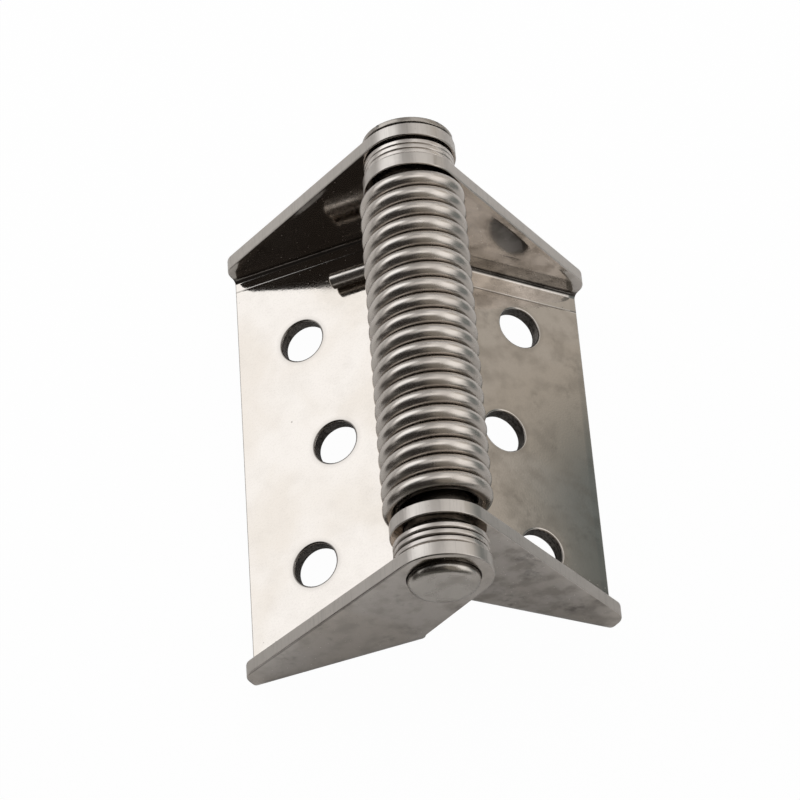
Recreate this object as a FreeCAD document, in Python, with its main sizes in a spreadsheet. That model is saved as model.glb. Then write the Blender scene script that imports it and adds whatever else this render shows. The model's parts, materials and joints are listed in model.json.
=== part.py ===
import FreeCAD, Part

import math
import os

import Sketcher
from FreeCAD import Placement, Rotation, Vector

# Spring loaded door hinge: two folded sheet leaves, each with two pointed ears, turn on one headed pin.
# A torsion spring is wound round the pin between the door leaf's ears, and its two legs press on the
# plates of the leaves. Three washers fill the space between an inner and an outer ear at each end.
#
# Frame: +Y runs along the pin towards its head, +Z is up. The hinge stands like a tent on the outer
# edges of its plates, with the pin on top. The origin is on the floor under the middle of the part.
# Lengths are in millimetres, angles in degrees.

# Driving dimensions: alias, value, what it sizes
DIMENSIONS = [
    ("sheet_thickness", 3.0, "sheet metal of both leaves"),
    ("axis_height", 20.0, "pin axis to the inner face of a plate"),
    ("plate_start", 14.2, "pin axis to a plate's inner edge, along the plate"),
    ("plate_end", 51.5, "pin axis to a plate's outer edge, along the plate"),
    ("frame_length", 100.0, "frame leaf, over the outer faces of its ears"),
    ("bend_radius", 1.0, "inside radius of the fold between plate and ear"),
    ("boss_wall", 2.75, "round end of an ear, beyond the pin"),
    ("tip_height", 4.6, "outer end of an ear above the plate, before rounding"),
    ("tip_round", 4.0, "rounding of an ear's outer end"),
    ("leaf_tilt", 27.4, "slope of each leaf below level, at rest"),
    ("hole_diameter", 9.4, "screw hole"),
    ("outer_holes", 36.4, "pin axis to the two outer screw holes, along the plate"),
    ("middle_hole", 30.2, "pin axis to the middle screw hole, along the plate"),
    ("hole_spread", 53.7, "one outer screw hole to the other"),
    ("pin_diameter", 14.0, "pin shank"),
    ("pin_running", 0.05, "radial clearance of the pin in the ears"),
    ("pin_tail", 2.0, "plain end of the pin beyond the frame leaf"),
    ("pin_round", 1.6, "rounding of the pin's plain end"),
    ("head_overhang", 2.5, "pin head, beyond the shank"),
    ("head_thickness", 1.2, "pin head"),
    ("head_gap", 0.5, "end play under the pin head"),
    ("head_round", 0.35, "rounding of the head's outer rim"),
    ("washer_width", 2.2, "washer, from its bore to its rim"),
    ("washer_thickness", 1.2, "washer"),
    ("washer_running", 0.1, "radial clearance of a washer on the pin"),
    ("washer_gap", 0.05, "end clearance between the door leaf and the washers that it turns against"),
    ("washer_chamfer", 0.2, "bevel of a washer's two outer edges"),
    ("washer_count", 3, "washers in each stack"),
    ("washer_slack", 0.25, "space before each near washer, from the frame leaf"),
    ("near_play", 1.65, "door leaf to the near washers"),
    ("far_play", 0.65, "far washers to the frame leaf"),
    ("wire_diameter", 3.5, "spring wire"),
    ("spring_running", 0.3, "radial clearance of the spring on the pin"),
    ("turn_gap", 0.18, "space between neighbouring turns of the spring"),
    ("spring_gap", 0.4, "end clearance between the coil and the door leaf"),
    ("leg_gap", 0.1, "clearance between a leg and the plate that it presses on"),
    ("leg_settle", 2.0, "end of the coil to where a leg has lost the slope of the turns"),
    ("leg_bend", 5.0, "inside radius of the bend in a leg"),
    ("leg_reach", 2.3, "inner edge of a plate to the bend of a leg"),
    ("leg_rest", 11.1, "bend of a leg to its cut end, along the plate"),
]

# Oversize of a folded blank, which its outline then trims
STOCK = 2.0

# Lengths closer than this are the same
SAME = 1e-4

# Formulas on the sheet that several sub-parts share
AXIS_LEVEL = (
    "(Sizes.plate_end * sin(Sizes.leaf_tilt * 1deg)"
    " + (Sizes.axis_height + Sizes.sheet_thickness) * cos(Sizes.leaf_tilt * 1deg))"
)
FRAME_MIDDLE = "(Sizes.pin_tail - Sizes.head_gap - Sizes.head_thickness) / 2"
BOSS_RADIUS = "(Sizes.pin_diameter / 2 + Sizes.boss_wall)"
HEAD_RADIUS = "(Sizes.pin_diameter / 2 + Sizes.head_overhang)"
WASHER_BORE = "(Sizes.pin_diameter / 2 + Sizes.washer_running)"
WASHER_RADIUS = f"({WASHER_BORE} + Sizes.washer_width)"
WASHER_STACK = "(Sizes.washer_count * Sizes.washer_thickness)"
NEAR_PLAY = "(Sizes.near_play + Sizes.washer_count * Sizes.washer_slack)"

# The door leaf takes the room that the washers and the play at each end leave between the frame leaf's ears
DOOR_LENGTH = (
    f"(Sizes.frame_length - 2 * Sizes.sheet_thickness - 2 * {WASHER_STACK}"
    f" - {NEAR_PLAY} - Sizes.far_play - Sizes.washer_gap)"
)
DOOR_SHIFT = f"(({NEAR_PLAY} - Sizes.far_play - Sizes.washer_gap) / 2)"
COIL_RADIUS = "(Sizes.pin_diameter / 2 + Sizes.spring_running + Sizes.wire_diameter / 2)"
SPRING_PITCH = "(Sizes.wire_diameter + Sizes.turn_gap)"

doc = FreeCAD.newDocument("SpringHinge")
sheet = doc.addObject("Spreadsheet::Sheet", "Sizes")
for row, (alias, value, note) in enumerate(DIMENSIONS, start=1):
    sheet.set(f"A{row}", note)
    sheet.set(f"B{row}", str(value))
    sheet.setAlias(f"B{row}", alias)
doc.recompute()


def size(alias):
    """The number in a cell of the sheet."""
    return float(sheet.get(alias))


def value(formula):
    """What a formula on the sheet comes to."""
    return float(sheet.evalExpression(formula))


def new_sketch(body, name, plane):
    """An empty sketch on one of the body's own origin planes."""
    sketch = body.newObject("Sketcher::SketchObject", name)
    support = next(item for item in body.Origin.OriginFeatures if item.Role == plane)
    sketch.AttachmentSupport = [(support, "")]
    sketch.MapMode = "FlatFace"
    return sketch


def drive(sketch, name, formula, *where):
    """A named dimension in a sketch, bound to a formula on the sheet."""
    kind, *references = where
    index = sketch.addConstraint(Sketcher.Constraint(kind, *references, value(formula)))
    sketch.renameConstraint(index, name)
    sketch.setExpression(f"Constraints.{name}", formula)


def rectangle(sketch, prefix, left, right, bottom, top):
    """A closed rectangle whose four sides are bound to formulas, measured from the sketch's origin."""
    x0, x1, y0, y1 = (value(side) for side in (left, right, bottom, top))
    corners = [Vector(x0, y0), Vector(x1, y0), Vector(x1, y1), Vector(x0, y1)]
    first = sketch.GeometryCount
    for start, end in zip(corners, corners[1:] + corners[:1]):
        sketch.addGeometry(Part.LineSegment(start, end))
    for side in range(4):
        joined = first + (side + 1) % 4
        sketch.addConstraint(Sketcher.Constraint("Coincident", first + side, 2, joined, 1))
        direction = "Vertical" if side % 2 else "Horizontal"
        sketch.addConstraint(Sketcher.Constraint(direction, first + side))
    drive(sketch, prefix + "Left", left, "DistanceX", -1, 1, first, 1)
    drive(sketch, prefix + "Right", right, "DistanceX", -1, 1, first + 1, 1)
    drive(sketch, prefix + "Bottom", bottom, "DistanceY", -1, 1, first, 1)
    drive(sketch, prefix + "Top", top, "DistanceY", -1, 1, first + 2, 1)


def circle(sketch, name, x, y, diameter):
    """A circle whose centre and diameter are bound to formulas."""
    centre = Vector(value(x), value(y))
    index = sketch.addGeometry(Part.Circle(centre, Vector(0, 0, 1), value(diameter) / 2))
    drive(sketch, name + "X", x, "DistanceX", -1, 1, index, 3)
    drive(sketch, name + "Y", y, "DistanceY", -1, 1, index, 3)
    drive(sketch, name + "Diameter", diameter, "Diameter", index)


def cut_through(body, sketch, name):
    """A pocket through the whole body, to both sides of its sketch. It has to take something away."""
    before = body.Shape.Volume
    pocket = body.newObject("PartDesign::Pocket", name)
    pocket.Profile = sketch
    pocket.Type = "ThroughAll"
    pocket.Midplane = True
    doc.recompute()
    if pocket.Shape.Volume > before - SAME:
        raise RuntimeError(f"{name} cut nothing")
    return pocket


def fillet(body, name, feature, edges, radius):
    """A fillet of chosen edges, with its radius bound to a formula."""
    if not edges:
        raise RuntimeError(f"{name} found no edge")
    rounding = body.newObject("PartDesign::Fillet", name)
    rounding.Base = (feature, edges)
    rounding.setExpression("Radius", radius)
    doc.recompute()
    return rounding


def edges_along_x(shape, y, z):
    """Names of the straight edges parallel to X at a height, on both sides of the middle."""
    names = []
    for number, edge in enumerate(shape.Edges, start=1):
        start, end = edge.Vertexes[0].Point, edge.Vertexes[-1].Point
        level = abs(start.z - z) < SAME and abs(end.z - z) < SAME
        beside = abs(abs(start.y) - y) < SAME and abs(start.y - end.y) < SAME
        if level and beside:
            names.append(f"Edge{number}")
    return names


def rims(shape, radius, levels):
    """Names of the circular edges of one radius about the Y axis, at the given places along it."""
    names = []
    for number, edge in enumerate(shape.Edges, start=1):
        if not isinstance(edge.Curve, Part.Circle):
            continue
        at_level = any(abs(edge.Curve.Center.y - y) < SAME for y in levels)
        if at_level and abs(edge.Curve.Radius - radius) < SAME:
            names.append(f"Edge{number}")
    return names


def tangent_point(radius, x, y, side):
    """Where a line from (x, y) touches the circle about the origin. side, 1 or -1, picks the tangent."""
    angle = math.atan2(y, x) + side * math.acos(radius / math.hypot(x, y))
    return Vector(radius * math.cos(angle), radius * math.sin(angle))


def leaf_outline(sketch):
    """Side view of a leaf: the plate's edge below, and the ear that rises from it to its boss."""
    boss = value(BOSS_RADIUS)
    foot = -size("axis_height")
    below = foot - size("sheet_thickness") - STOCK
    start, end = size("plate_start"), size("plate_end")
    tip = Vector(end, foot + size("tip_height"))
    heel = Vector(start, foot)
    slope_top = tangent_point(boss, tip.x, tip.y, 1)
    slant_top = tangent_point(boss, heel.x, heel.y, -1)

    # The tip's rounding touches the end edge and the slope, so it starts the same distance along both
    slope = (slope_top - tip).normalize()
    half_turn = (math.pi - math.acos(-slope.y)) / 2
    reach = size("tip_round") * math.tan(half_turn)
    round_start = tip - Vector(0, reach)
    round_end = tip + slope * reach
    centre = round_start - Vector(size("tip_round"), 0)

    angles = [math.atan2(p.y, p.x) for p in (slope_top, slant_top)]
    arc_top = Part.Circle(Vector(0, 0), Vector(0, 0, 1), boss)
    arc_tip = Part.Circle(centre, Vector(0, 0, 1), size("tip_round"))
    tip_turn = math.atan2(round_end.y - centre.y, round_end.x - centre.x)
    pieces = [
        Part.LineSegment(Vector(start, below), Vector(end, below)),
        Part.LineSegment(Vector(end, below), round_start),
        Part.ArcOfCircle(arc_tip, 0, tip_turn),
        Part.LineSegment(round_end, slope_top),
        Part.ArcOfCircle(arc_top, angles[0], angles[1] + 2 * math.pi),
        Part.LineSegment(slant_top, heel),
        Part.LineSegment(heel, Vector(start, below)),
    ]
    first = sketch.GeometryCount
    bottom, end_edge, tip_arc, slope_edge, boss_arc, slant_edge, start_edge = range(first, first + 7)
    for piece in pieces:
        sketch.addGeometry(piece)
    for one, other in [(bottom, end_edge), (slant_edge, start_edge), (start_edge, bottom)]:
        sketch.addConstraint(Sketcher.Constraint("Coincident", one, 2, other, 1))
    smooth = [(end_edge, tip_arc), (tip_arc, slope_edge), (slope_edge, boss_arc), (boss_arc, slant_edge)]
    for one, other in smooth:
        sketch.addConstraint(Sketcher.Constraint("Tangent", one, 2, other, 1))
    sketch.addConstraint(Sketcher.Constraint("Horizontal", bottom))
    sketch.addConstraint(Sketcher.Constraint("Vertical", end_edge))
    sketch.addConstraint(Sketcher.Constraint("Vertical", start_edge))
    sketch.addConstraint(Sketcher.Constraint("Coincident", boss_arc, 3, -1, 1))

    # The tip's height is measured to the corner that its rounding takes off
    corner = sketch.addGeometry(Part.Point(tip), True)
    sketch.addConstraint(Sketcher.Constraint("PointOnObject", corner, 1, end_edge))
    sketch.addConstraint(Sketcher.Constraint("PointOnObject", corner, 1, slope_edge))
    drive(sketch, "TipHeight", "Sizes.tip_height - Sizes.axis_height", "DistanceY", -1, 1, corner, 1)
    drive(sketch, "TipRound", "Sizes.tip_round", "Radius", tip_arc)
    drive(sketch, "Boss", BOSS_RADIUS, "Radius", boss_arc)
    drive(sketch, "Heel", "-Sizes.axis_height", "DistanceY", -1, 1, start_edge, 1)
    drive(sketch, "PlateStart", "Sizes.plate_start", "DistanceX", -1, 1, bottom, 1)
    drive(sketch, "PlateEnd", "Sizes.plate_end", "DistanceX", -1, 1, bottom, 2)
    under = f"-Sizes.axis_height - Sizes.sheet_thickness - {STOCK}"
    drive(sketch, "Below", under, "DistanceY", -1, 1, bottom, 1)


def make_leaf(name, length):
    """A leaf in its own frame: X out along the plate, Y along the pin, Z from the plate to the pin.

    A channel is folded from sheet, its side outline is cut, and the pin and screw holes go through it.
    length is a formula on the sheet.
    """
    body = doc.addObject("PartDesign::Body", name)
    body.Label = name
    half = f"{length} / 2"
    outer_face = value(half)
    under = "-Sizes.axis_height - Sizes.sheet_thickness"

    block_face = new_sketch(body, name + "_block_face", "YZ_Plane")
    rectangle(block_face, "Block", f"-{half}", half, under, f"{BOSS_RADIUS} + {STOCK}")
    block = body.newObject("PartDesign::Pad", name + "_block")
    block.Profile = block_face
    block.SideType = "Two sides"
    block.setExpression("Length", f"Sizes.plate_end + {STOCK}")
    block.setExpression("Length2", f"{BOSS_RADIUS} + {STOCK}")
    doc.recompute()
    outside = edges_along_x(block.Shape, outer_face, value(under))
    fillet(body, name + "_outer_fold", block, outside, "Sizes.bend_radius + Sizes.sheet_thickness")

    hollow_face = new_sketch(body, name + "_hollow_face", "YZ_Plane")
    inner = f"({half} - Sizes.sheet_thickness)"
    beyond = f"({BOSS_RADIUS} + {2 * STOCK})"
    rectangle(hollow_face, "Hollow", f"-{inner}", inner, "-Sizes.axis_height", beyond)
    hollow = cut_through(body, hollow_face, name + "_hollow")
    inside = edges_along_x(hollow.Shape, value(inner), -size("axis_height"))
    fillet(body, name + "_inner_fold", hollow, inside, "Sizes.bend_radius")

    trim = new_sketch(body, name + "_outline", "XZ_Plane")
    right = f"Sizes.plate_end + {2 * STOCK}"
    rectangle(trim, "Trim", f"-{beyond}", right, f"{under} - {2 * STOCK}", beyond)
    leaf_outline(trim)
    cut_through(body, trim, name + "_trim")

    pin_hole = new_sketch(body, name + "_pin_hole_face", "XZ_Plane")
    circle(pin_hole, "Pin", "0", "0", "Sizes.pin_diameter + 2 * Sizes.pin_running")
    cut_through(body, pin_hole, name + "_pin_hole")

    screw_holes = new_sketch(body, name + "_screw_hole_face", "XY_Plane")
    for place, (x, y) in {
        "Near": ("Sizes.outer_holes", "-Sizes.hole_spread / 2"),
        "Middle": ("Sizes.middle_hole", "0"),
        "Far": ("Sizes.outer_holes", "Sizes.hole_spread / 2"),
    }.items():
        circle(screw_holes, place, x, y, "Sizes.hole_diameter")
    cut_through(body, screw_holes, name + "_screw_holes")
    return body


def make_pin():
    """The pin in its own frame: Y along it, with the middle of the frame leaf at zero."""
    body = doc.addObject("PartDesign::Body", "hinge_pin")
    body.Label = "hinge_pin"
    tail = "-Sizes.frame_length / 2 - Sizes.pin_tail"
    seat = "Sizes.frame_length / 2 + Sizes.head_gap"
    face = f"{seat} + Sizes.head_thickness"
    profile = new_sketch(body, "pin_profile", "XY_Plane")
    rectangle(profile, "Shank", "0", "Sizes.pin_diameter / 2", tail, seat)
    shank = body.newObject("PartDesign::Revolution", "pin_shank")
    shank.Profile = profile
    shank.ReferenceAxis = (profile, ["V_Axis"])
    head_profile = new_sketch(body, "head_profile", "XY_Plane")
    rectangle(head_profile, "Head", "0", HEAD_RADIUS, seat, face)
    head = body.newObject("PartDesign::Revolution", "pin_head")
    head.Profile = head_profile
    head.ReferenceAxis = (head_profile, ["V_Axis"])
    doc.recompute()
    end_rim = rims(head.Shape, size("pin_diameter") / 2, [value(tail)])
    rounded = fillet(body, "pin_end_round", head, end_rim, "Sizes.pin_round")
    head_rims = rims(rounded.Shape, value(HEAD_RADIUS), [value(seat), value(face)])
    fillet(body, "pin_head_round", rounded, head_rims, "Sizes.head_round")
    return body


def make_washer(name):
    """A flat washer in its own frame: Y through it, with its near face at zero."""
    body = doc.addObject("PartDesign::Body", name)
    body.Label = name
    profile = new_sketch(body, name + "_profile", "XY_Plane")
    rectangle(profile, "Ring", WASHER_BORE, WASHER_RADIUS, "0", "Sizes.washer_thickness")
    ring = body.newObject("PartDesign::Revolution", name + "_ring")
    ring.Profile = profile
    ring.ReferenceAxis = (profile, ["V_Axis"])
    doc.recompute()
    bevel = body.newObject("PartDesign::Chamfer", name + "_bevel")
    bevel.Base = (ring, rims(ring.Shape, value(WASHER_RADIUS), [0, size("washer_thickness")]))
    bevel.setExpression("Size", "Sizes.washer_chamfer")
    doc.recompute()
    return body


def place(item, along="0", turn=0, slope="0"):
    """Puts a sub-part on the pin axis at a formula's place along it.

    It is first sloped about the pin, then turned about the vertical.
    """
    base = f"create(<<vector>>; 0; {FRAME_MIDDLE} + {along}; {AXIS_LEVEL})"
    rotation = f"create(<<rotation>>; {turn}; {slope}; 0)"
    item.setExpression("Placement", f"create(<<placement>>; {base}; {rotation})")


def corner_arc(before, corner, after, reach):
    """The arc that rounds a corner of the wire's path, touching both straights at a distance from it.

    before and after are the directions into and out of the corner.
    """
    half_turn = before.getAngle(after) / 2
    radius = reach / math.tan(half_turn)
    inward = (after - before).normalize()
    middle = corner + inward * (radius / math.cos(half_turn) - radius)
    return Part.Arc(corner - before * reach, middle, corner + after * reach).toShape()


def leg_path(side, y):
    """Centre line of a spring leg: on from the coil in a straight line, then bent to lie along its plate.

    side is 1 for the door leaf's leg, at the coil's near end, and -1 for the frame leaf's, at its far end.
    Returns the coil's end, which is at y, the edges from there, and the leg's cut end.
    """
    wire = size("wire_diameter") / 2
    coil = value(COIL_RADIUS)
    slope = value(SPRING_PITCH) / (2 * math.pi * coil)
    level = wire + size("leg_gap") - size("axis_height")
    bend = size("plate_start") + size("leg_reach")
    touch = tangent_point(coil, bend, level, -1)
    run = (Vector(bend, level) - touch).normalize()
    settle = size("leg_settle")
    leg_y = y - side * slope * settle
    tilt = Rotation(Vector(0, 1, 0), size("leaf_tilt"))

    def world(u, v, along):
        turned = tilt.multVec(Vector(u, 0, v))
        return Vector(side * turned.x, along, turned.z)

    start = world(touch.x, touch.y, y)
    level_off = world(touch.x + run.x * settle, touch.y + run.y * settle, leg_y)
    knee = world(bend, level, leg_y)
    end = world(bend + size("leg_rest"), level, leg_y)
    from_coil = (level_off - start).normalize()
    down = (knee - level_off).normalize()
    out = (end - knee).normalize()
    first_reach = (level_off - start).Length
    bend_reach = (size("leg_bend") + wire) * math.tan(down.getAngle(out) / 2)
    edges = [
        corner_arc(from_coil, level_off, down, first_reach),
        Part.LineSegment(level_off + down * first_reach, knee - down * bend_reach).toShape(),
        corner_arc(down, knee, out, bend_reach),
        Part.LineSegment(knee + out * bend_reach, end).toShape(),
    ]
    return start, edges, end


def make_spring():
    """The torsion spring: one wire, from its leg on the door leaf to its leg on the frame leaf.

    It has as many turns as fit between the door leaf's ears, and lies against the far one.
    """
    pitch = value(SPRING_PITCH)
    inside = value(DOOR_LENGTH) - 2 * size("sheet_thickness")
    room = inside - 2 * size("spring_gap") - size("wire_diameter")
    last = value(DOOR_SHIFT) + inside / 2 - size("spring_gap") - size("wire_diameter") / 2

    # The coil turns from +Z towards +X as it advances along +Y, and a leg leaves it at each end
    touches = (leg_path(1, 0)[0], leg_path(-1, 0)[0])
    turn_near, turn_far = (math.atan2(point.x, point.z) for point in touches)
    part_turn = ((turn_far - turn_near) / (2 * math.pi)) % 1
    turns = math.floor(room / pitch - part_turn) + part_turn
    advance = turns * pitch
    near_start, near_edges, near_end = leg_path(1, last - advance)
    far_edges = leg_path(-1, last)[1]
    print(f"spring: {turns:.2f} turns")

    helix = Part.makeHelix(pitch, advance, value(COIL_RADIUS))
    out = Vector(near_start.x, 0, near_start.z).normalize()
    along = Vector(0, 1, 0)
    turned = Rotation(out, along.cross(out), along, "ZXY")
    helix.Placement = Placement(along * (last - advance), turned)
    path = doc.addObject("Part::Feature", "spring_path")
    path.Shape = Part.Wire(Part.__sortEdges__(near_edges + helix.Edges + far_edges))

    section = doc.addObject("Part::Circle", "spring_section")
    section.setExpression("Radius", "Sizes.wire_diameter / 2")
    bent = near_edges[-1].Vertexes[0].Point
    section.Placement = Placement(near_end, Rotation(Vector(0, 0, 1), bent - near_end))
    spring = doc.addObject("Part::Sweep", "torsion_spring")
    spring.Label = "torsion_spring"
    spring.Sections = [section]
    spring.Spine = (path, [f"Edge{number}" for number in range(1, len(path.Shape.Edges) + 1)])
    spring.Solid = True
    spring.Frenet = True
    spring.Transition = "Transformed"
    return spring


def make_washers():
    """A loose stack of washers by the frame leaf's near ear, and a tight one by the door leaf's far ear."""
    near_seat = "Sizes.sheet_thickness - Sizes.frame_length / 2 + Sizes.washer_slack"
    far_seat = f"{DOOR_SHIFT} + {DOOR_LENGTH} / 2 + Sizes.washer_gap"
    loose_step = "(Sizes.washer_thickness + Sizes.washer_slack)"
    stacks = {"near": (near_seat, loose_step), "far": (far_seat, "Sizes.washer_thickness")}
    washers = []
    for stack, (seat, step) in stacks.items():
        for number in range(int(size("washer_count"))):
            washer = make_washer(f"washer_{stack}_{number + 1}")
            place(washer, f"{seat} + {number} * {step}")
            washers.append(washer)
    return washers


def write(nodes):
    """Checks the whole document and each sub-part's shape, then writes the STEP files."""
    doc.recompute()
    for item in doc.Objects:
        if "Invalid" in item.State or "Error" in item.State:
            raise RuntimeError(f"{item.Name} failed: {item.State}")
    for node in nodes:
        if node.Shape.isNull() or not node.Shape.isValid():
            raise RuntimeError(f"{node.Label} has no valid shape")
    os.makedirs("parts", exist_ok=True)
    for node in nodes:
        node.Shape.exportStep(f"parts/{node.Label}.step")
        print(f"{node.Label}: {node.Shape.Volume:.1f} mm3")


frame_leaf = make_leaf("frame_leaf", "Sizes.frame_length")
place(frame_leaf, turn=180, slope="Sizes.leaf_tilt")
door_leaf = make_leaf("door_leaf", DOOR_LENGTH)
place(door_leaf, along=DOOR_SHIFT, slope="Sizes.leaf_tilt")
hinge_pin = make_pin()
place(hinge_pin)
torsion_spring = make_spring()
place(torsion_spring)
write([frame_leaf, door_leaf, hinge_pin, torsion_spring, *make_washers()])
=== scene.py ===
# %% [markdown]
# # A spring loaded door hinge in bare stainless steel
# The hinge stands like a tent on the outer edges of its two leaves, with the pin along the top.
# The CAD model gives every piece its true size and place, so this script only dresses it: softened
# edges, the wound spring, the finish of each surface, and the studio round it.

import json
import math

import bmesh
import bpy
from mathutils import Euler, Matrix, Quaternion, Vector
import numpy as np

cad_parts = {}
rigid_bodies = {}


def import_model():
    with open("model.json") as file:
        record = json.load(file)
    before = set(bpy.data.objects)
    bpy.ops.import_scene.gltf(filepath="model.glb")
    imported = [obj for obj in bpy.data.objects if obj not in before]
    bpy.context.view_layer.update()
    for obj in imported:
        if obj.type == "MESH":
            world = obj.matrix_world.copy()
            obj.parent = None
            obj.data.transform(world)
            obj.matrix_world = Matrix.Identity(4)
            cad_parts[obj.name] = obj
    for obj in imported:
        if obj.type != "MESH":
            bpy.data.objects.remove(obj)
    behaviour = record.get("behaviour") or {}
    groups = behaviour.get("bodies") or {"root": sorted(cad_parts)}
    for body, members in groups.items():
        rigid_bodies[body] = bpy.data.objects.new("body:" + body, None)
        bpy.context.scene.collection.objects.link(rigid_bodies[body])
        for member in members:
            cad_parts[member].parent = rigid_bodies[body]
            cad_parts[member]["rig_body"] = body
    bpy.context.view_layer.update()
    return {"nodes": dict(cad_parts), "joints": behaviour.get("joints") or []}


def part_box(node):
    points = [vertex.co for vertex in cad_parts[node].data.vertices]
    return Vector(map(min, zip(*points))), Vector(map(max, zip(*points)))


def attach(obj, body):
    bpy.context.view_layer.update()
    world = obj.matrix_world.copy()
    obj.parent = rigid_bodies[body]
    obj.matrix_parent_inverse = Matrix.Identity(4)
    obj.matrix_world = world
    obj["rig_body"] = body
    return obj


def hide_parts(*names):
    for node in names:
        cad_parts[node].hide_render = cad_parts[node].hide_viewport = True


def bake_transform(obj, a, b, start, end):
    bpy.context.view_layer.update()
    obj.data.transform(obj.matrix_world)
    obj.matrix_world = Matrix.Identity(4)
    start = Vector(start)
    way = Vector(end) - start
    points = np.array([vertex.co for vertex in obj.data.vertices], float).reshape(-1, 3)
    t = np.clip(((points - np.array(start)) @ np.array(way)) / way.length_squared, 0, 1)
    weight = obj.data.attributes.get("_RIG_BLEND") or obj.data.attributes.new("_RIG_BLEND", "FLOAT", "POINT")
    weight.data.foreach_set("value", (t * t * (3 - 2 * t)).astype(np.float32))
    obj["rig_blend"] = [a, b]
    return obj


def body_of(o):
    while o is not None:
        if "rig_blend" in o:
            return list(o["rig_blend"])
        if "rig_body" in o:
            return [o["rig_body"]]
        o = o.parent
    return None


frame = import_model()
MM = 0.001

# %% [markdown]
# ## Where the hinge turns
# The joint tells where the pin's axis lies, and both leaves slope down from it by the same angle. The
# marks on the sheet and the spring's legs could be placed in the scene's own directions, twice over,
# but one small function gives each leaf a frame of its own: u out along the plate, y along the pin,
# and v from the plate towards the pin. What is laid out there once is right on both leaves.

# %% The pin axis and a leaf's own directions
AXIS = Vector(frame["joints"][0]["pos_m"])
LEAF_SLOPE = math.radians(27.4)
DOOR_SIDE, FRAME_SIDE = 1, -1


def leaf_turn(side):
    """The rotation that takes a leaf's own u, y, v directions to the scene's."""
    return Matrix.Rotation(side * LEAF_SLOPE, 3, "Y") @ Matrix.Diagonal((side, 1, 1))


def on_leaf(side, u, v, y):
    """The point of the scene at u and v from the pin axis on one side, and at y along the pin."""
    return Vector((AXIS.x, y, AXIS.z)) + leaf_turn(side) @ Vector((u, 0, v))


def span(name):
    """Middle and length of a node along the pin, in millimetres."""
    low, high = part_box(name)
    return (low.y + high.y) / 2 / MM, (high.y - low.y) / MM


print("pin axis", AXIS, "leaf lengths", span("frame_leaf")[1], span("door_leaf")[1])

# %% [markdown]
# ## Shader maths that reads like maths
# A finish is a small sum over masks: one minus this, times that. Wiring Math nodes by hand hides the
# sum, so a socket is wrapped in a class whose operators add the nodes. Every other node comes from
# one method, which sets the node up first and then fills or links its sockets.

# %% A socket that can be added and multiplied
class Socket:
    """An output of a node, which +, - and * turn into Math nodes."""

    def __init__(self, finish, output):
        self.finish = finish
        self.output = output

    def maths(self, operation, first, second=0.0):
        """A Math node over one or two values."""
        return self.finish.node("Math", {0: first, 1: second}, operation=operation)

    def __add__(self, other):
        return self.maths("ADD", self, other)

    __radd__ = __add__

    def __sub__(self, other):
        return self.maths("SUBTRACT", self, other)

    def __rsub__(self, other):
        return self.maths("SUBTRACT", other, self)

    def __mul__(self, other):
        return self.maths("MULTIPLY", self, other)

    __rmul__ = __mul__

    def __abs__(self):
        return self.maths("ABSOLUTE", self)


# %% One method for every node, and short names for the common ones
class Finish:
    """The nodes of a material or of the world."""

    def __init__(self, owner):
        self.owner = owner
        owner.use_nodes = True
        self.tree = owner.node_tree
        self.tree.nodes.clear()

    def node(self, kind, sockets=None, output=0, **settings):
        """Adds a node, sets it up, then fills or links its sockets. Returns one of its outputs."""
        made = self.tree.nodes.new("ShaderNode" + kind)
        for name, value in settings.items():
            setattr(made, name, value)
        for name, value in (sockets or {}).items():
            if isinstance(value, Socket):
                self.tree.links.new(value.output, made.inputs[name])
            else:
                made.inputs[name].default_value = value
        return Socket(self, made.outputs[output]) if made.outputs else None

    def mix(self, factor, first, second):
        """A colour between two colours."""
        return self.node("Mix", {0: factor, 6: first, 7: second}, 2, data_type="RGBA")

    def noise(self, place, scale, detail=2.0, distortion=0.0):
        """Cloudy noise, about 0.5, with a scale in features for each unit of the place."""
        sockets = {"Vector": place, "Scale": scale, "Detail": detail, "Distortion": distortion}
        return self.node("TexNoise", sockets)

    def scatter(self, place, scale):
        """How far a place is from the nearest of many scattered points, as a share of their spacing."""
        return self.node("TexVoronoi", {"Vector": place, "Scale": scale})

    def ramp(self, value, low, high, shape="SMOOTHSTEP"):
        """Takes low..high to 0..1, with soft ends unless the shape is LINEAR, and holds outside."""
        return self.node("MapRange", {"Value": value, 1: low, 2: high}, interpolation_type=shape)

    def least(self, first, second):
        """The smaller of two values."""
        return self.node("Math", {0: first, 1: second}, operation="MINIMUM")

    def most(self, first, second):
        """The larger of two values."""
        return self.node("Math", {0: first, 1: second}, operation="MAXIMUM")

    def along(self, vector, direction):
        """How far a vector reaches along a direction."""
        return self.node("VectorMath", {0: vector, 1: direction}, "Value", operation="DOT_PRODUCT")

    def distance(self, place, centre):
        """How far a place is from a point."""
        return self.node("VectorMath", {0: place, 1: centre}, "Value", operation="DISTANCE")

    def part(self, place, axis):
        """One coordinate of a place: X, Y or Z."""
        return self.node("SeparateXYZ", {0: place}, axis)

    def stretched(self, place, scale):
        """A place scaled apart along each axis, so that noise on it runs in streaks."""
        return self.node("Mapping", {"Vector": place, "Scale": scale})

    def bump(self, height, depth, normal=None):
        """Bends the normal over a height of 0..1 that is depth metres deep."""
        sockets = {"Height": height, "Distance": depth, "Strength": 1.0}
        if normal:
            sockets["Normal"] = normal
        return self.node("Bump", sockets)


# %% [markdown]
# ## Bare steel
# All the pieces are the same bare stainless steel, finished in different ways: rolled sheet, drawn
# wire, ground bar and turned washers. A metal has no paint to carry its colour, so what is written
# is how much of each colour it gives back, and the rest is roughness and very fine relief. One material
# could serve every piece, but the marks run another way on each, so each finish has a function of its
# own and only the shader is shared. Places are in millimetres, which is about the size of the marks.

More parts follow.
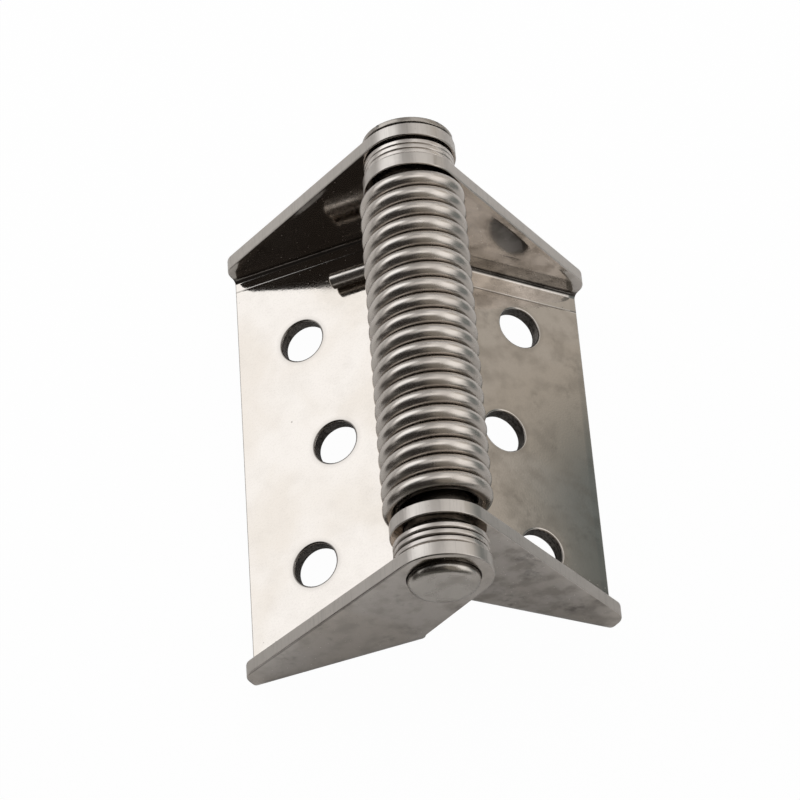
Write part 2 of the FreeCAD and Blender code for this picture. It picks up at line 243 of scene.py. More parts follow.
# %% What every steel finish shares
STEEL = (0.58, 0.534, 0.49, 1)
BROWNED = (0.50, 0.44, 0.375, 1)
DULL = (0.40, 0.36, 0.32, 1)
CUT = (0.52, 0.48, 0.44, 1)
DARKENED = (0.24, 0.21, 0.18, 1)
# Dark for grime, and for the painted shade in the folds, round and inside the holes and along the rims
GRIME_AND_SHADE = (0.07, 0.062, 0.055, 1)


def steel(name, dress):
    """A steel material. dress(finish) returns its colour, roughness and normal."""
    material = bpy.data.materials.new(name)
    finish = Finish(material)
    colour, roughness, normal = dress(finish)
    sockets = {"Base Color": colour, "Roughness": roughness, "Normal": normal, "Metallic": 1.0}
    finish.node("OutputMaterial", {"Surface": finish.node("BsdfPrincipled", sockets)})
    print("finish", name, len(finish.tree.nodes), "nodes")
    return material


def millimetres(finish, turn=Matrix.Identity(3)):
    """The place on a piece in millimetres from the pin axis, in the directions of a turned frame."""
    inverse = turn.inverted()
    offset = inverse @ Vector((AXIS.x, 0, AXIS.z)) / MM
    sockets = {
        "Vector": finish.node("TexCoord", output="Object"),
        "Scale": (1 / MM,) * 3,
        "Rotation": inverse.to_euler(),
        "Location": -offset,
    }
    return finish.node("Mapping", sockets)


# %% [markdown]
# ## Where things lie on a leaf
# The leaves are sheared and folded from rolled sheet, and each step leaves its own mark. The rolled
# faces stay bright, the sheared edges are dull, and the press pushes a narrow band up into each fold.
# Painted shade darkens the fold's root, the walls of the holes and a ring round each hole, and on the
# frame leaf a line round each hole and along each ear's rim. Masks could be painted by hand, but these
# are worked out from distances in the leaf's own frame, so they stay sharp and fit both leaves. A leaf
# is alike on both sides of its middle, so no distance needs a sign.

# %% A leaf's sizes, in millimetres
SHEET = 3.0
PLATE_FACE = -20.0
PLATE_END = 51.5
FOLD = 1.0
TIP_HEIGHT = 4.6
HOLE_RADIUS = 4.7
HOLES = [(36.4, -26.85), (36.4, 26.85), (30.2, 0.0)]

# The ear's slope touches the circle of its boss and passes the tip, which gives the slope's direction
BOSS_RADIUS = 9.75
TIP = (PLATE_END, PLATE_FACE + TIP_HEIGHT)
SLOPE_TURN = math.acos(BOSS_RADIUS / math.hypot(*TIP)) + math.atan2(TIP[1], TIP[0])
print("ear slope", round(math.degrees(SLOPE_TURN), 2), "degrees")


# %% The parts of a leaf as masks
class LeafMap:
    """Distances and masks over one leaf, in millimetres."""

    def __init__(self, finish, node, side, band):
        middle, length = span(node)
        turn = Matrix.Rotation(side * LEAF_SLOPE, 3, "Y")
        self.place = millimetres(finish, turn)
        self.ear_face = length / 2 - SHEET
        self.fold_line = self.ear_face - band
        self.measure(finish, middle)
        self.mask_edges(finish, turn)
        self.mask_folds(finish, band)

    def measure(self, finish, middle):
        """Distances from the middle, the plate, the edges and the nearest hole.

        The first hole is the second one's mirror image about the middle, so it needs no distance.
        """
        u, y, v = (finish.part(self.place, axis) for axis in "XYZ")
        out = abs(u)
        self.from_middle = abs(y - middle)
        self.height = v - PLATE_FACE
        to_slope = BOSS_RADIUS - (out * math.cos(SLOPE_TURN) + v * math.sin(SLOPE_TURN))
        self.to_edge = finish.least(to_slope, PLATE_END - out)
        flat = finish.node("CombineXYZ", {0: out, 1: self.from_middle})
        to_centres = [finish.distance(flat, (*hole, 0)) for hole in HOLES[1:]]
        self.to_hole = finish.least(*to_centres) - HOLE_RADIUS

    def mask_edges(self, finish, turn):
        """The ears, and the edges that were sheared: the rims, the ends and the walls of the holes."""
        normal = finish.node("TexCoord", output="Normal")
        outwards = abs(finish.along(normal, turn @ Vector((1, 0, 0))))
        upwards = abs(finish.along(normal, turn @ Vector((0, 0, 1))))
        self.faces_pin = abs(finish.along(normal, (0, 1, 0)))
        self.ear = finish.ramp(self.from_middle, self.ear_face - 0.3, self.ear_face - 0.1)
        on_plate = finish.ramp(self.from_middle, self.ear_face - 4, self.ear_face - 5)
        self.hole_walls = finish.ramp(upwards, 0.6, 0.3) * on_plate
        rims = finish.ramp(self.height, 4, 6) * finish.ramp(self.faces_pin, 0.7, 0.4)
        ends = finish.ramp(outwards, 0.2, 0.35)
        self.cut = finish.most(ends, finish.most(rims, self.hole_walls))

    def mask_folds(self, finish, band):
        """The band that rises to each fold, the line that it starts at, and the fold's root."""
        in_sheet = finish.ramp(self.from_middle, self.ear_face + 1.5, self.ear_face + 0.5)
        inside = in_sheet * finish.ramp(self.height, -1, -0.4)
        plate_rise = finish.ramp(self.from_middle, self.fold_line, self.ear_face, "LINEAR")
        ear_rise = finish.ramp(self.height, band * 1.7, 0, "LINEAR")
        self.rise = finish.least(plate_rise, ear_rise) * inside
        self.line = finish.ramp(abs(self.from_middle - self.fold_line), 0.26, 0.06) * inside
        # The fold's root, which the leaf's finish paints dark as shade
        root_edge = self.ear_face - FOLD
        self.root = finish.ramp(self.from_middle, root_edge - 0.1, root_edge + 0.1) * inside


# %% [markdown]
# ## Rolled sheet
# The photograph shows a bright sheet that has been handled: broad brownish stains, duller patches, a
# fine grain like orange peel, specks of dust that only show against a dark reflection, and a few pits.
# The ears are more worn than the plates. An image of worn steel could give all this at once, but then
# nothing could be set by itself. Here each mark is one noise, cut to a narrow range so that it comes
# and goes, or one mask of the leaf, and the finish is their sum.

# %% The leaf finish
def sheet_steel(name, node, side, band, press, root_shade_start, mottling, rim_shade):
    """Rolled sheet for one leaf.

    The band that the press pushed up is as wide as given, in millimetres, and press tenths of a
    millimetre high. Painted shade in the fold's root starts at the given height above the plate.
    Mottling is how much the patches dull the plate, and the rim shade how dark the painted shade round a
    hole and along an ear's rim is.
    """

    def dress(finish):
        leaf = LeafMap(finish, node, side, band)
        place = leaf.place

        # Clouds and specks that lie anywhere
        brown = finish.ramp(finish.noise(place, 0.045, 3, 0.4), 0.40, 0.62)
        patches = finish.ramp(finish.noise(place, 0.22, 5), 0.42, 0.72)
        grain = finish.noise(place, 2.2, 2)
        shear = finish.noise(finish.stretched(place, (2.4, 0.12, 2.4)), 1, 3)
        waves = finish.noise(place, 0.08, 1)
        pits = finish.ramp(finish.scatter(place, 0.12), 0.035, 0.01)
        dust = finish.ramp(finish.scatter(place, 0.75), 0.10, 0.05)
        dust = dust * finish.ramp(leaf.from_middle, leaf.ear_face - 14, leaf.ear_face - 3)

        # Grime where it gathers, and painted shade in the fold's root, round the holes and along the ears'
        # rims
        stains = finish.ramp(finish.noise(place, 0.16, 2), 0.52, 0.72)
        stains = stains * finish.ramp(finish.noise(place, 0.7, 4), 0.38, 0.72)
        stains = stains * (1 - leaf.cut) * (leaf.ear * 0.35 + mottling * 0.3)
        # Painted shade in the fold's root, from the given start height up to 1.6 mm above the plate
        root = leaf.root * finish.ramp(leaf.height, root_shade_start, root_shade_start + 0.2)
        root = root * finish.ramp(leaf.height, 1.6, 1.0)
        # Painted shade: a dark line just outside each hole's rim, and a soft painted shadow round each hole
        hole_shade_line = finish.ramp(abs(leaf.to_hole - 0.28), 0.24, 0.1) * rim_shade
        hole_shadow = finish.ramp(leaf.to_hole, 1.6, 0.3) * 0.16 + hole_shade_line
        # Painted shade: a dark line along the rim and the tip of each ear
        rim_shade_line = finish.ramp(leaf.to_edge, 0.55, 0.25) * finish.ramp(leaf.faces_pin, 0.75, 0.9)
        streaks = finish.ramp(shear, 0.5, 0.68) * leaf.cut

        # Colour, from the bare sheet up
        colour = finish.mix(brown * 0.45, STEEL, BROWNED)
        colour = finish.mix(patches * (leaf.ear * 0.6 + mottling), colour, DULL)
        colour = finish.mix(finish.ramp(grain, 0.4, 0.8) * 0.15, colour, DULL)
        colour = finish.mix(leaf.cut * (0.8 + shear * 0.2), colour, CUT)
        # Pits, stains, shear streaks and the press line are dirt and marks; the rest is painted shade
        grime_and_shade = pits * 0.5 + stains + hole_shadow * (1 - leaf.hole_walls) + streaks * 0.12
        grime_and_shade = grime_and_shade + leaf.line * 0.4 + root * 0.8 + rim_shade_line * rim_shade
        # Painted shade on the walls of the holes
        grime_and_shade = grime_and_shade + leaf.hole_walls * (shear * 0.8 + 0.35)
        colour = finish.mix(grime_and_shade, colour, GRIME_AND_SHADE)

        # Shine and relief
        roughness = 0.07 + patches * 0.05 + grain * 0.04
        roughness = roughness + leaf.cut * 0.22 + dust * 0.5 + pits * 0.3
        normal = finish.bump(waves, 0.03 * MM)
        normal = finish.bump(grain, 0.006 * MM, normal)
        normal = finish.bump(shear * leaf.cut, 0.01 * MM, normal)
        edge = finish.ramp(leaf.to_edge, 1.8, 0)
        normal = finish.bump(leaf.rise * press - leaf.line * 0.25 - edge, 0.1 * MM, normal)
        return colour, roughness, normal

    return steel(name, dress)


finishes = {
    "frame_leaf": sheet_steel(
        "rolled_sheet_frame", "frame_leaf", FRAME_SIDE,
        band=2.8, press=1.2, root_shade_start=0.0, mottling=0.12, rim_shade=0.5,
    ),
    "door_leaf": sheet_steel(
        "rolled_sheet_door", "door_leaf", DOOR_SIDE,
        band=4.4, press=3.2, root_shade_start=0.08, mottling=0.75, rim_shade=0.0,
    ),
}

# %% [markdown]
# ## Drawn wire
# A die leaves lines along a wire. Noise that is stretched in a straight line would cross the turns, so
# it is stretched along the wire's own length, which the mesh carries as UV. Between the turns the wire
# is painted dark as shade: what lies deeper than the middle of the wire sees little but the next turn.

# %% The wire finish
WIRE = 3.5 * MM
WIRE_BRIGHT = (0.58, 0.53, 0.482, 1)
WIRE_DULL = (0.40, 0.355, 0.31, 1)
WIRE_SHADE = (0.14, 0.122, 0.105, 1)

spring_low, spring_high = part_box("torsion_spring")
coil = spring_high.z - AXIS.z - WIRE / 2
print("coil radius", round(coil / MM, 3), "mm")


def wire_steel(finish):
    """Drawn spring wire, a little warmer than the sheet, with die lines along it and painted shade between
    the turns.
    """
    along = finish.node("UVMap", uv_map="Wire")
    lines = finish.noise(finish.stretched(along, (26, 0.05, 1)), 1, 3)
    place = millimetres(finish)
    patches = finish.ramp(finish.noise(place, 0.16, 3), 0.4, 0.7)
    from_axis = finish.distance(finish.stretched(place, (1, 0, 1)), (0, 0, 0))
    # Painted shade between the turns, on what lies deeper than the middle of the wire
    crevice_shade = finish.ramp(from_axis, coil / MM + 1.3, coil / MM - 0.1)
    colour = finish.mix(patches * 0.4, WIRE_BRIGHT, WIRE_DULL)
    colour = finish.mix(crevice_shade * 0.65, colour, WIRE_SHADE)
    roughness = 0.21 + lines * 0.08 + patches * 0.05
    return colour, roughness, finish.bump(lines, 0.006 * MM)


finishes["wire"] = steel("drawn_wire", wire_steel)

# %% [markdown]
# ## Ground bar and turned washers
# A grinder leaves its lines round a bar, and a lathe leaves them round a washer's rim. Both are a noise
# that is stretched the way the tool ran, and the place about the axis is enough for that. The shank
# shows only in the gaps between parts, so it is painted dark as shade, and the head is made a little darker.

# %% The pin and washer finishes
GROUND = (0.55, 0.51, 0.465, 1)
TURNED = (0.61, 0.56, 0.515, 1)
SHANK_SHADE = (0.05, 0.044, 0.038, 1)

# Places along the pin in millimetres: where the shank's painted shade starts and ends, and where the darker
# head starts
SHANK_SHADE_START = (-50.8, -50.4)
SHANK_SHADE_END = (49.6, 48.8)
HEAD_START = (49.6, 50.2)


def round_steel(tone, rough, depth, shank_shade=0.0):
    """Turned or ground steel: lines that run round the pin axis, and duller marks across them.

    The lines are depth metres deep. The shank shade, from 0 to 1, is how dark the shank is painted as shade;
    it also makes the head a little darker.
    """

    def dress(finish):
        place = millimetres(finish)
        rings = finish.noise(finish.stretched(place, (0.2, 9, 0.2)), 1, 3)
        across = finish.noise(finish.stretched(place, (2.2, 0.2, 2.2)), 1, 3)
        stains = finish.ramp(finish.noise(place, 0.3, 1), 0.35, 0.8)
        y = finish.part(place, "Y")
        shank = finish.least(finish.ramp(y, *SHANK_SHADE_START), finish.ramp(y, *SHANK_SHADE_END))
        head = finish.ramp(y, *HEAD_START)
        colour = finish.mix(stains * 0.4, tone, DARKENED)
        # Painted shade on the shank, which shows only in gaps, and the head made a little darker
        colour = finish.mix(shank * shank_shade, colour, SHANK_SHADE)
        colour = finish.mix(head * shank_shade * 0.7, colour, DARKENED)
        roughness = rough + stains * 0.1 + across * 0.03
        return colour, roughness, finish.bump(rings, depth)

    return dress


finishes["hinge_pin"] = steel("ground_bar", round_steel(GROUND, 0.22, 0.002 * MM, shank_shade=0.85))
finishes["washer"] = steel("turned_washer", round_steel(TURNED, 0.24, 0.008 * MM))

# %% [markdown]
# ## Edges that catch the light
# No sheared or turned edge is truly sharp: each has a narrow rounding that shows as a bright line. The
# CAD solids have square edges. A Bevel modifier could round them, but it would follow the triangles of
# the model and treat every corner alike. So each solid is copied, the triangles of a flat are merged,
# the corners are bevelled by width, and the copy stands for the node.

# %% Find and bevel the corners of a mesh
CORNER = math.radians(35)


def corners_of(shape):
    """The edges of a mesh where two faces meet at a corner."""
    return [edge for edge in shape.edges if edge.is_manifold and edge.calc_face_angle() > CORNER]


def round_over(shape, edges, width, steps, clamp=False):
    """Bevels some edges of a mesh. With the clamp on, no bevel is wider than the mesh has room for."""
    bmesh.ops.bevel(
        shape, geom=edges, offset=width, segments=steps, profile=0.5, affect="EDGES", clamp_overlap=clamp
    )


# %% [markdown]
# ## A ring of faces round each screw hole
# A bevel slides its new points along the edges that meet the corner. The merged flat of a plate has
# long slanted edges that end at its holes, and points that slide along those notch the rim. So
# both flats of a plate are laid again: a ring of square faces round each hole, whose edges stand
# straight out from the rim, and a plain fill between the rings and the outline.

# %% Measure from the holes, and find a flat
IN_PLANE = 0.9998


def hole_arms(name, side):
    """A function that gives the arm from the axis of a leaf's nearest hole out to a point."""
    low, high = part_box(name)
    middle = Vector((AXIS.x, (low.y + high.y) / 2, AXIS.z))
    turn = leaf_turn(side)
    centres = [(u * MM, y * MM) for u, y in HOLES]

    def arm(point):
        place = turn.transposed() @ (point - middle)
        u, y = min(centres, key=lambda centre: math.hypot(place.x - centre[0], place.y - centre[1]))
        return turn @ Vector((place.x - u, place.y - y, 0))

    return arm


def flat_about(seed):
    """The faces that lie in one plane with a face and join it."""
    flat, unseen = {seed}, [seed]
    while unseen:
        face = unseen.pop()
        for other in {other for edge in face.edges for other in edge.link_faces} - flat:
            if other.normal.dot(seed.normal) > IN_PLANE:
                flat.add(other)
                unseen.append(other)
    return flat


# %% Lay the flats again with a ring round each hole
HOLE_RING = 2.5 * MM
NEAR_RIM = 0.1 * MM
LARGE = 20 * MM * MM
FLAT = math.radians(0.6)


def find_rims(shape, arm):
    """The corner edges at the two ends of each hole."""
    reach = HOLE_RADIUS * MM + NEAR_RIM
    middles = {edge: (edge.verts[0].co + edge.verts[1].co) / 2 for edge in corners_of(shape)}
    return [edge for edge, middle in middles.items() if arm(middle).length < reach]


def add_rings(shape, rims, arm):
    """A ring of faces round each rim. Returns the rings' outer edges."""
    outer = {}
    for vert in sorted({vert for edge in rims for vert in edge.verts}, key=lambda vert: vert.index):
        outer[vert] = shape.verts.new(vert.co + arm(vert.co).normalized() * HOLE_RING)
    for edge in rims:
        first, second = edge.verts
        shape.faces.new((first, second, outer[second], outer[first]))
    return [shape.edges.get([outer[vert] for vert in edge.verts]) for edge in rims]


def lay_again(shape, flat, normal, rims, arm):
    """Takes a flat out, adds the rings, and fills between them and the outline."""
    border = {edge for face in flat for edge in face.edges if len(flat & set(edge.link_faces)) == 1}
    border = sorted(border, key=lambda edge: edge.index)
    bmesh.ops.delete(shape, geom=list(flat), context="FACES_KEEP_BOUNDARY")
    ringed = [edge for edge in border if edge in rims]
    outline = [edge for edge in border if edge not in rims] + add_rings(shape, ringed, arm)
    made = bmesh.ops.triangle_fill(shape, use_beauty=True, edges=outline, normal=normal)["geom"]
    inner = [item for item in made if isinstance(item, bmesh.types.BMEdge) and item not in outline]
    bmesh.ops.dissolve_limit(shape, angle_limit=FLAT, verts=[], edges=inner)


def ring_holes(shape, arm):
    """Rings the holes on both flats of a leaf's plate. Returns the edges of the rims."""
    shape.verts.index_update()
    shape.edges.index_update()
    rims = find_rims(shape, arm)
    seeds = [face for face in shape.faces if face.calc_area() > LARGE and set(face.edges) & set(rims)]
    while seeds:
        normal, flat = seeds[0].normal.copy(), flat_about(seeds[0])
        seeds = [face for face in seeds if face not in flat]
        lay_again(shape, flat, normal, rims, arm)
    bmesh.ops.recalc_face_normals(shape, faces=shape.faces)
    print("holes ringed, open edges:", sum(not edge.is_manifold for edge in shape.edges))
    return rims


# %% [markdown]
# ## A softened copy of each piece
# The rims of the screw holes are rounded the most, because a punch draws the sheet in as it goes
# through, and the washers the least. A round piece is made of narrow facets, so its bevel is held to
# the room that it has. On a leaf that hold would shrink every bevel to suit the smallest edge, so
# there it is off, and every point is put back inside the node's box at the end instead.

# %% Soften a node
WELD = 0.0005 * MM
SHORT = 0.12 * MM
RIM_ROUND = 0.45 * MM
RIM_STEPS = 4


def add_object(name, data):
    """A new object in the scene."""
    item = bpy.data.objects.new(name, data)
    bpy.context.scene.collection.objects.link(item)
    return item


def soften(name, width, material, steps=3, side=0):
    """A copy of a CAD node with its corners rounded by width metres. It replaces the node.

    A leaf is given with its side, and the rims of its holes are rounded more than the rest.
    """
    source = frame["nodes"][name]
    shape = bmesh.new()
    shape.from_mesh(source.data)
    bmesh.ops.remove_doubles(shape, verts=shape.verts, dist=WELD)
    bmesh.ops.dissolve_limit(shape, angle_limit=FLAT, verts=shape.verts, edges=shape.edges)
    bmesh.ops.dissolve_degenerate(shape, dist=SHORT, edges=shape.edges)
    if side:
        round_over(shape, ring_holes(shape, hole_arms(name, side)), RIM_ROUND, RIM_STEPS)
    corners = corners_of(shape)
    round_over(shape, corners, width, steps, clamp=not side)
    low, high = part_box(name)
    for vert in shape.verts:
        limits = zip(vert.co, low, high)
        vert.co = [min(max(place, lowest), highest) for place, lowest, highest in limits]
    for face in shape.faces:
        face.smooth = True
    mesh = bpy.data.meshes.new(name + "_softened")
    shape.to_mesh(mesh)
    shape.free()
    mesh.materials.clear()
    mesh.materials.append(material)
    piece = add_object(name + "_softened", mesh)
    piece.modifiers.new("Flats stay flat", "WEIGHTED_NORMAL").weight = 100
    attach(piece, body_of(source)[0])
    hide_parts(name)
    print("softened", name, len(mesh.polygons), "faces,", len(corners), "corner edges")


# %% Soften the leaves, the pin and the washers
LEAF_ROUND = 0.3 * MM
PIN_ROUND = 0.1 * MM
WASHER_ROUND = 0.06 * MM
WASHER_STEPS = 2

soften("frame_leaf", LEAF_ROUND, finishes["frame_leaf"], side=FRAME_SIDE)
soften("door_leaf", LEAF_ROUND, finishes["door_leaf"], side=DOOR_SIDE)
soften("hinge_pin", PIN_ROUND, finishes["hinge_pin"])
for name in frame["nodes"]:
    if name.startswith("washer"):
        soften(name, WASHER_ROUND, finishes["washer"], steps=WASHER_STEPS)

# %% [markdown]
# ## The torsion spring
# One round wire: a leg that lies on the door leaf, nearly twenty close turns round the pin, and a leg
# that lies on the frame leaf. The line could be traced as a list of points, but it is worked out from
# the coil's size, as a designer would draw it: each leg leaves the coil along a tangent, loses the
# slope of the turns, and bends to lie along its plate.

# %% The spring's sizes, and where its coil starts and ends
TURN_GAP = 0.18 * MM
PITCH = WIRE + TURN_GAP
LEG_GAP = 0.1 * MM
LEG_BEND = 5.0 * MM + WIRE / 2
LEG_SETTLE = 2.0 * MM
PLATE_START = 14.2 * MM
LEG_REACH = 2.3 * MM
LEG_REST = 11.1 * MM
STEPS_A_TURN = 72
SETTLE_STEPS = 4
BEND_STEPS = 12

rise = PITCH / (2 * math.pi * coil)
coil_start = spring_low.y + WIRE / 2 + rise * LEG_SETTLE
coil_end = spring_high.y - WIRE / 2 - rise * LEG_SETTLE
print("coil from", round(coil_start / MM, 2), "to", round(coil_end / MM, 2), "mm along the pin")


# %% The legs
def rounded(before, corner, after, reach, steps):
    """Points of the arc that touches both straights at a distance from their corner."""
    into, out = (corner - before).normalized(), (after - corner).normalized()
    turn = into.angle(out)
    radius = reach / math.tan(turn / 2)
    axis = into.cross(out).normalized()
    start = corner - into * reach
    centre = start + axis.cross(into) * radius
    return [centre + Quaternion(axis, turn * i / steps) @ (start - centre) for i in range(steps + 1)]


def leg(side, y):
    """A leg's centre line, from the coil's end at y to the cut end, and rounded at its two turns."""
    level = PLATE_FACE * MM + LEG_GAP + WIRE / 2
    knee_u = PLATE_START + LEG_REACH
    angle = math.atan2(level, knee_u) - math.acos(coil / math.hypot(knee_u, level))
    touch = Vector((coil * math.cos(angle), coil * math.sin(angle)))
    run = (Vector((knee_u, level)) - touch).normalized()
    leg_y = y - side * rise * LEG_SETTLE
    start = on_leaf(side, *touch, y)
    level_off = on_leaf(side, *(touch + run * LEG_SETTLE), leg_y)
    knee = on_leaf(side, knee_u, level, leg_y)
    end = on_leaf(side, knee_u + LEG_REST, level, leg_y)
    turn = (knee - level_off).angle(end - knee)
    first = rounded(start, level_off, knee, (level_off - start).length, SETTLE_STEPS)
    second = rounded(level_off, knee, end, LEG_BEND * math.tan(turn / 2), BEND_STEPS)
    return first + second + [end]


# %% The whole centre line
def spring_line():
    """Every point of the wire's centre line, from the door leaf's leg to the frame leaf's."""
    near_leg = leg(DOOR_SIDE, coil_start)
    far_leg = leg(FRAME_SIDE, coil_end)
    offset = near_leg[0] - AXIS
    first_angle = math.atan2(offset.x, offset.z)
    turns = (coil_end - coil_start) / PITCH
    steps = round(turns * STEPS_A_TURN)
    helix = []
    for step in range(1, steps):
        angle = first_angle + 2 * math.pi * turns * step / steps
        y = coil_start + (coil_end - coil_start) * step / steps
        helix.append(Vector((AXIS.x + coil * math.sin(angle), y, AXIS.z + coil * math.cos(angle))))
    print("spring:", round(turns, 2), "turns in", steps, "steps")
    return near_leg[::-1] + helix + far_leg


# %% [markdown]
# ## A skin round the line
# A curve with a round bevel could draw the wire, but its UVs don't measure the wire's length. So a ring
# of points is carried along the line and turned only as much as the line turns, which keeps the die
# lines from twisting. Each cut end is slightly chamfered and closed with a flat face. When the hinge moves,
# the turns wind up evenly, so the mesh is blended from one leaf to the other along the coil.

# %% Carry a ring along the line
SIDES = 24
CUT_CHAMFER = 0.25 * MM


def chamfered(line, radius):
    """Each point of a line with its radius, and one more point where the chamfer of an end stops."""
    first = line[0].lerp(line[1], CUT_CHAMFER / (line[1] - line[0]).length)
    last = line[-1] + (line[-2] - line[-1]).normalized() * CUT_CHAMFER
    narrow = radius - CUT_CHAMFER
    middle = [(point, radius) for point in line[1:-1]]
    return [(line[0], narrow), (first, radius), *middle, (last, radius), (line[-1], narrow)]


def carry_ring(shape, sized_points):
    """The loops of points round a line, with the length along it at each loop, in millimetres."""
    points = [point for point, _ in sized_points]
    heading = (points[1] - points[0]).normalized()
    outward = heading.orthogonal().normalized()
    angles = [2 * math.pi * side / SIDES for side in range(SIDES)]
    loops, lengths, length = [], [], 0.0
    for index, (point, radius) in enumerate(sized_points):
        ahead = points[min(index + 1, len(points) - 1)] - points[max(index - 1, 0)]
        outward = heading.rotation_difference(ahead.normalized()) @ outward
        heading = ahead.normalized()
        sideways = heading.cross(outward)
        length += (point - points[max(index - 1, 0)]).length
        lengths.append(length / MM)
        spokes = [outward * math.cos(angle) + sideways * math.sin(angle) for angle in angles]
        loops.append([shape.verts.new(point + spoke * radius) for spoke in spokes])
    return loops, lengths


# %% Sweep the wire
def sweep(name, line, radius):
    """A round rod along a line of points, with chamfered ends and the length along it as UV."""
    shape = bmesh.new()
    wire_uv = shape.loops.layers.uv.new("Wire")
    loops, lengths = carry_ring(shape, chamfered(line, radius))
    for index in range(len(loops) - 1):
        here, there = loops[index], loops[index + 1]
        for side in range(SIDES):
            after = (side + 1) % SIDES
            face = shape.faces.new((here[side], here[after], there[after], there[side]))
            face.smooth = True
            start, end = side / SIDES, (side + 1) / SIDES
            places = [(start, index), (end, index), (end, index + 1), (start, index + 1)]
            for corner, (around, ring) in zip(face.loops, places):
                corner[wire_uv].uv = (around, lengths[ring])
    shape.faces.new(loops[0][::-1])
    shape.faces.new(loops[-1])
    bmesh.ops.recalc_face_normals(shape, faces=shape.faces)
    mesh = bpy.data.meshes.new(name)
    shape.to_mesh(mesh)
    shape.free()
    mesh.set_sharp_from_angle(angle=CORNER)
    print(name, round(lengths[-1]), "mm of wire,", len(mesh.polygons), "faces")
    return add_object(name, mesh)


spring = sweep("spring_wire_wound", spring_line(), WIRE / 2)
spring.data.materials.append(finishes["wire"])
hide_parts("torsion_spring")
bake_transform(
    spring, "door_leaf", "frame_leaf", start=(AXIS.x, coil_start, AXIS.z), end=(AXIS.x, coil_end, AXIS.z)
)

# %% [markdown]
# ## A floor and a world that look white
# Bare metal shows what is round it, so most of its look is made by the studio. The photograph's ground
# is plain white, but a floor as bright as that would wash out all the steel that mirrors it. So the
# kind of ray decides: the camera sees a white floor with a trace of the hinge's shadow, and the steel
# sees a grey one that the lamps light. The world is white to both.

# %% Floor and world
WHITE = (1, 1, 1, 1)
FLOOR_GREY = (0.44, 0.44, 0.44, 1)
FLOOR_HALF = 3.0
FLOOR_DROP = 0.05 * MM
WORLD_FILL = 0.7


def sheet_mesh(name, x, y):
    """A flat rectangle that reaches x and y from its middle."""
    mesh = bpy.data.meshes.new(name)
    mesh.from_pydata([(-x, -y, 0), (x, -y, 0), (x, y, 0), (-x, y, 0)], [], [(0, 1, 2, 3)])
    return mesh


def seen_as_white(finish, camera, glossy):
    """How much of plain white each kind of ray sees."""
    kinds = ("Camera", "Glossy", "Transmission")
    rays = {kind: finish.node("LightPath", output=f"Is {kind} Ray") for kind in kinds}
    return rays["Camera"] * camera + rays["Glossy"] * glossy + rays["Transmission"] * camera


def make_floor():
    """A wide pale floor. The camera sees it almost white, with a trace of the hinge's shadow."""
    floor = add_object("floor", sheet_mesh("floor", FLOOR_HALF, FLOOR_HALF))
    floor.location.z = -FLOOR_DROP
    finish = Finish(bpy.data.materials.new("pale_floor"))
    lit = finish.node("BsdfDiffuse", {"Color": FLOOR_GREY})
    white = finish.node("Emission", {"Color": WHITE, "Strength": 1.0})
    amount = seen_as_white(finish, 0.98, 0.06)
    surface = finish.node("MixShader", {0: amount, 1: lit, 2: white})
    finish.node("OutputMaterial", {"Surface": surface})
    floor.data.materials.append(finish.owner)


def make_world():
    """A white room that lights the floor a little less than it shows."""
    world = bpy.data.worlds.new("studio")
    bpy.context.scene.world = world
    finish = Finish(world)
    fill = finish.node("Background", {"Color": WHITE, "Strength": WORLD_FILL})
    white = finish.node("Background", {"Color": WHITE, "Strength": 1.0})
    amount = seen_as_white(finish, 1.0, 1.0)
    surface = finish.node("MixShader", {0: amount, 1: fill, 2: white})
    finish.node("OutputWorld", {"Surface": surface})


make_floor()
make_world()
print("floor", 2 * FLOOR_HALF, "m wide, world fill", WORLD_FILL)

# %% [markdown]
# ## Lamps and cards
# A picture of a room could surround the hinge, but lamps and cards can be set one at a time against
# what the photograph shows. The left plate mirrors a broad soft lamp behind and to the left, and the
# right plate a grey card on the other side. A lamp on the right and one high up behind give the round
# pieces their bright lines. A large dark card stands behind the camera, as a dark room would: it
# blackens the front of each turn, and the far left ear, which shows it by way of the plate. Close
# cards low down darken what mirrors them, such as the outer edge of the right plate. Three more lamps
# light only the floor, which the near ears mirror. The camera sees none of the lamps and cards.

# %% How a lamp or a card is made
MIDDLE = Vector((0, 0, 30 * MM))


def facing(item, azimuth, elevation, distance):
    """Stands an item where its direction is seen from the hinge, turned to face it.

    An azimuth of 0 is the camera's side and 90 is to the right, in degrees.
    """
    turn, lift = math.radians(azimuth), math.radians(elevation)
    level = math.cos(lift)
    away = Vector((math.sin(turn) * level, -math.cos(turn) * level, math.sin(lift)))
    item.location = MIDDLE + away * distance
    item.rotation_euler = away.to_track_quat("Z", "Y").to_euler()
    item.visible_camera = False
    return item


def extent(distance, angle):
    """The width that spans an angle in degrees, seen from a distance."""
    return 2 * distance * math.tan(math.radians(angle) / 2)


def soft_light(name, azimuth, elevation, wide, high, brightness, distance=1.2, tint=(1, 1, 1)):
    """A soft box that spans wide by high degrees. It adds brightness to the white behind it."""
    lamp = bpy.data.lights.new(name, "AREA")
    lamp.color = tint
    lamp.shape = "RECTANGLE"
    lamp.size, lamp.size_y = extent(distance, wide), extent(distance, high)
    lamp.energy = brightness * math.pi * lamp.size * lamp.size_y
    return facing(add_object(name, lamp), azimuth, elevation, distance)


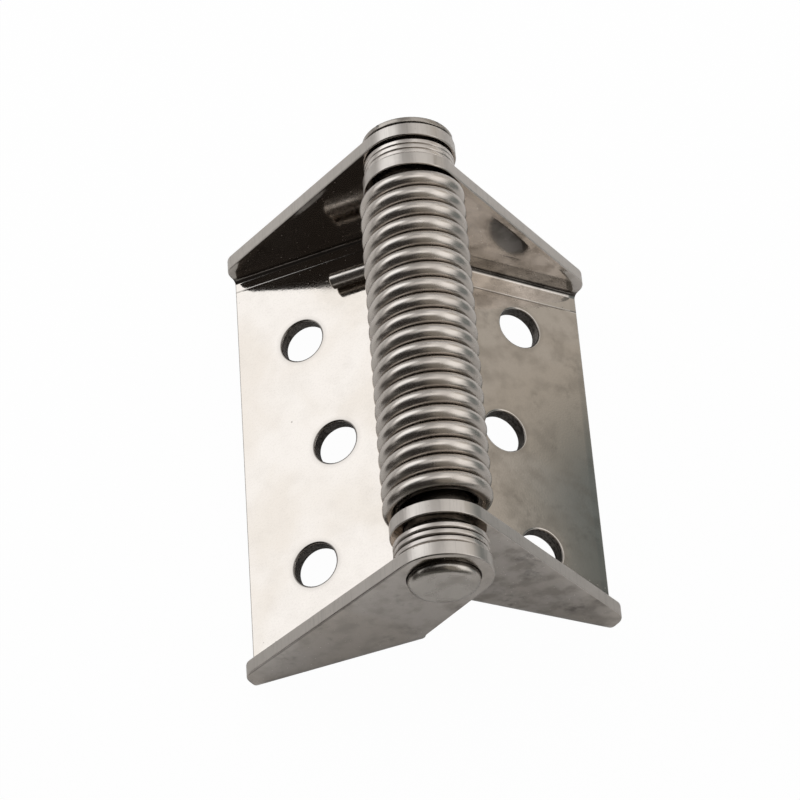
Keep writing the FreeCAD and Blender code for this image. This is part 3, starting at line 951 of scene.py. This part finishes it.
def card(name, azimuth, elevation, wide, high, colour, soft=0.3, distance=1.3):
    """A card that the steel reflects. It fades away over the soft part of its half width."""
    x, y = extent(distance, wide) / 2, extent(distance, high) / 2
    item = add_object(name, sheet_mesh(name, x, y))
    finish = Finish(bpy.data.materials.new(name))
    place = finish.node("TexCoord", output="Object")
    across, along = abs(finish.part(place, "X")), abs(finish.part(place, "Y"))
    cover = finish.ramp(across, x, x * (1 - soft)) * finish.ramp(along, y, y * (1 - soft))
    clear = finish.node("BsdfTransparent")
    glow = finish.node("Emission", {"Color": (*colour, 1), "Strength": 1.0})
    surface = finish.node("MixShader", {0: cover, 1: clear, 2: glow})
    finish.node("OutputMaterial", {"Surface": surface})
    finish.owner.cycles.emission_sampling = "NONE"
    item.data.materials.append(finish.owner)
    facing(item, azimuth, elevation, distance)


# %% Stand the lamps and cards
# Each lamp: azimuth, elevation, width and height in degrees, brightness
soft_light("key_light", -127, 31, 44, 40, 0.68, tint=(0.93, 1.0, 1.07))
soft_light("right_light", 85, 37, 52, 28, 0.4)
soft_light("top_light", 150, 78, 36, 24, 0.35)
for azimuth, brightness in ((-120, 2.8), (150, 2.6), (15, 1.3)):
    floor_light = soft_light("floor_light", azimuth, 40, 50, 50, brightness, distance=0.35)
    floor_light.visible_glossy = False

# Each card: azimuth, elevation, width and height in degrees, colour
card("dark_front", -28, 47, 120, 86, (0.035, 0.032, 0.03), soft=0.28)
card("brown_front", 30, 44, 46, 74, (0.27, 0.25, 0.22), soft=0.5, distance=1.25)
card("grey_back", 180, 14, 80, 46, (0.44, 0.44, 0.44), soft=0.5)
card("grey_back_left", -170, 50, 30, 50, (0.48, 0.48, 0.48), soft=0.4)
card("grey_right", 127, 20, 32, 30, (0.60, 0.57, 0.52), soft=0.5, distance=1.25)
card("near_right", 95, -3.5, 62, 54, (0.20, 0.225, 0.225), soft=0.45, distance=0.16)
card("near_front", 0, 3, 124, 34, (0.12, 0.12, 0.11), soft=0.3, distance=0.22)
card("near_left", -58, -4, 56, 40, (0.06, 0.054, 0.05), soft=0.4, distance=0.12)
card("grey_left", -105, 2, 70, 18, (0.6, 0.6, 0.6), soft=0.4)
card("grey_top", -110, 74, 44, 32, (0.65, 0.65, 0.65), soft=0.5)

# %% [markdown]
# ## The camera
# The photograph was taken from above the near end of the pin, a little to the left, with a long lens:
# the plates' far and near edges are almost the same length. The place and angles were worked out from
# the corners of the plates and the holes.

# %% Set the camera
CAMERA_PLACE = Vector((-39.19, -326.18, 560.66)) * MM
CAMERA_ANGLES = [math.radians(angle) for angle in (31.599, -1.35, -3.861)]
LENS = 139.68

camera = add_object("camera", bpy.data.cameras.new("camera"))
camera.location = CAMERA_PLACE
camera.rotation_euler = Euler(CAMERA_ANGLES, "XYZ")
camera.data.lens = LENS
bpy.context.scene.camera = camera
bpy.context.scene.view_settings.view_transform = "Standard"
print("camera", round(CAMERA_PLACE.length, 3), "m from the origin, lens", LENS, "mm")
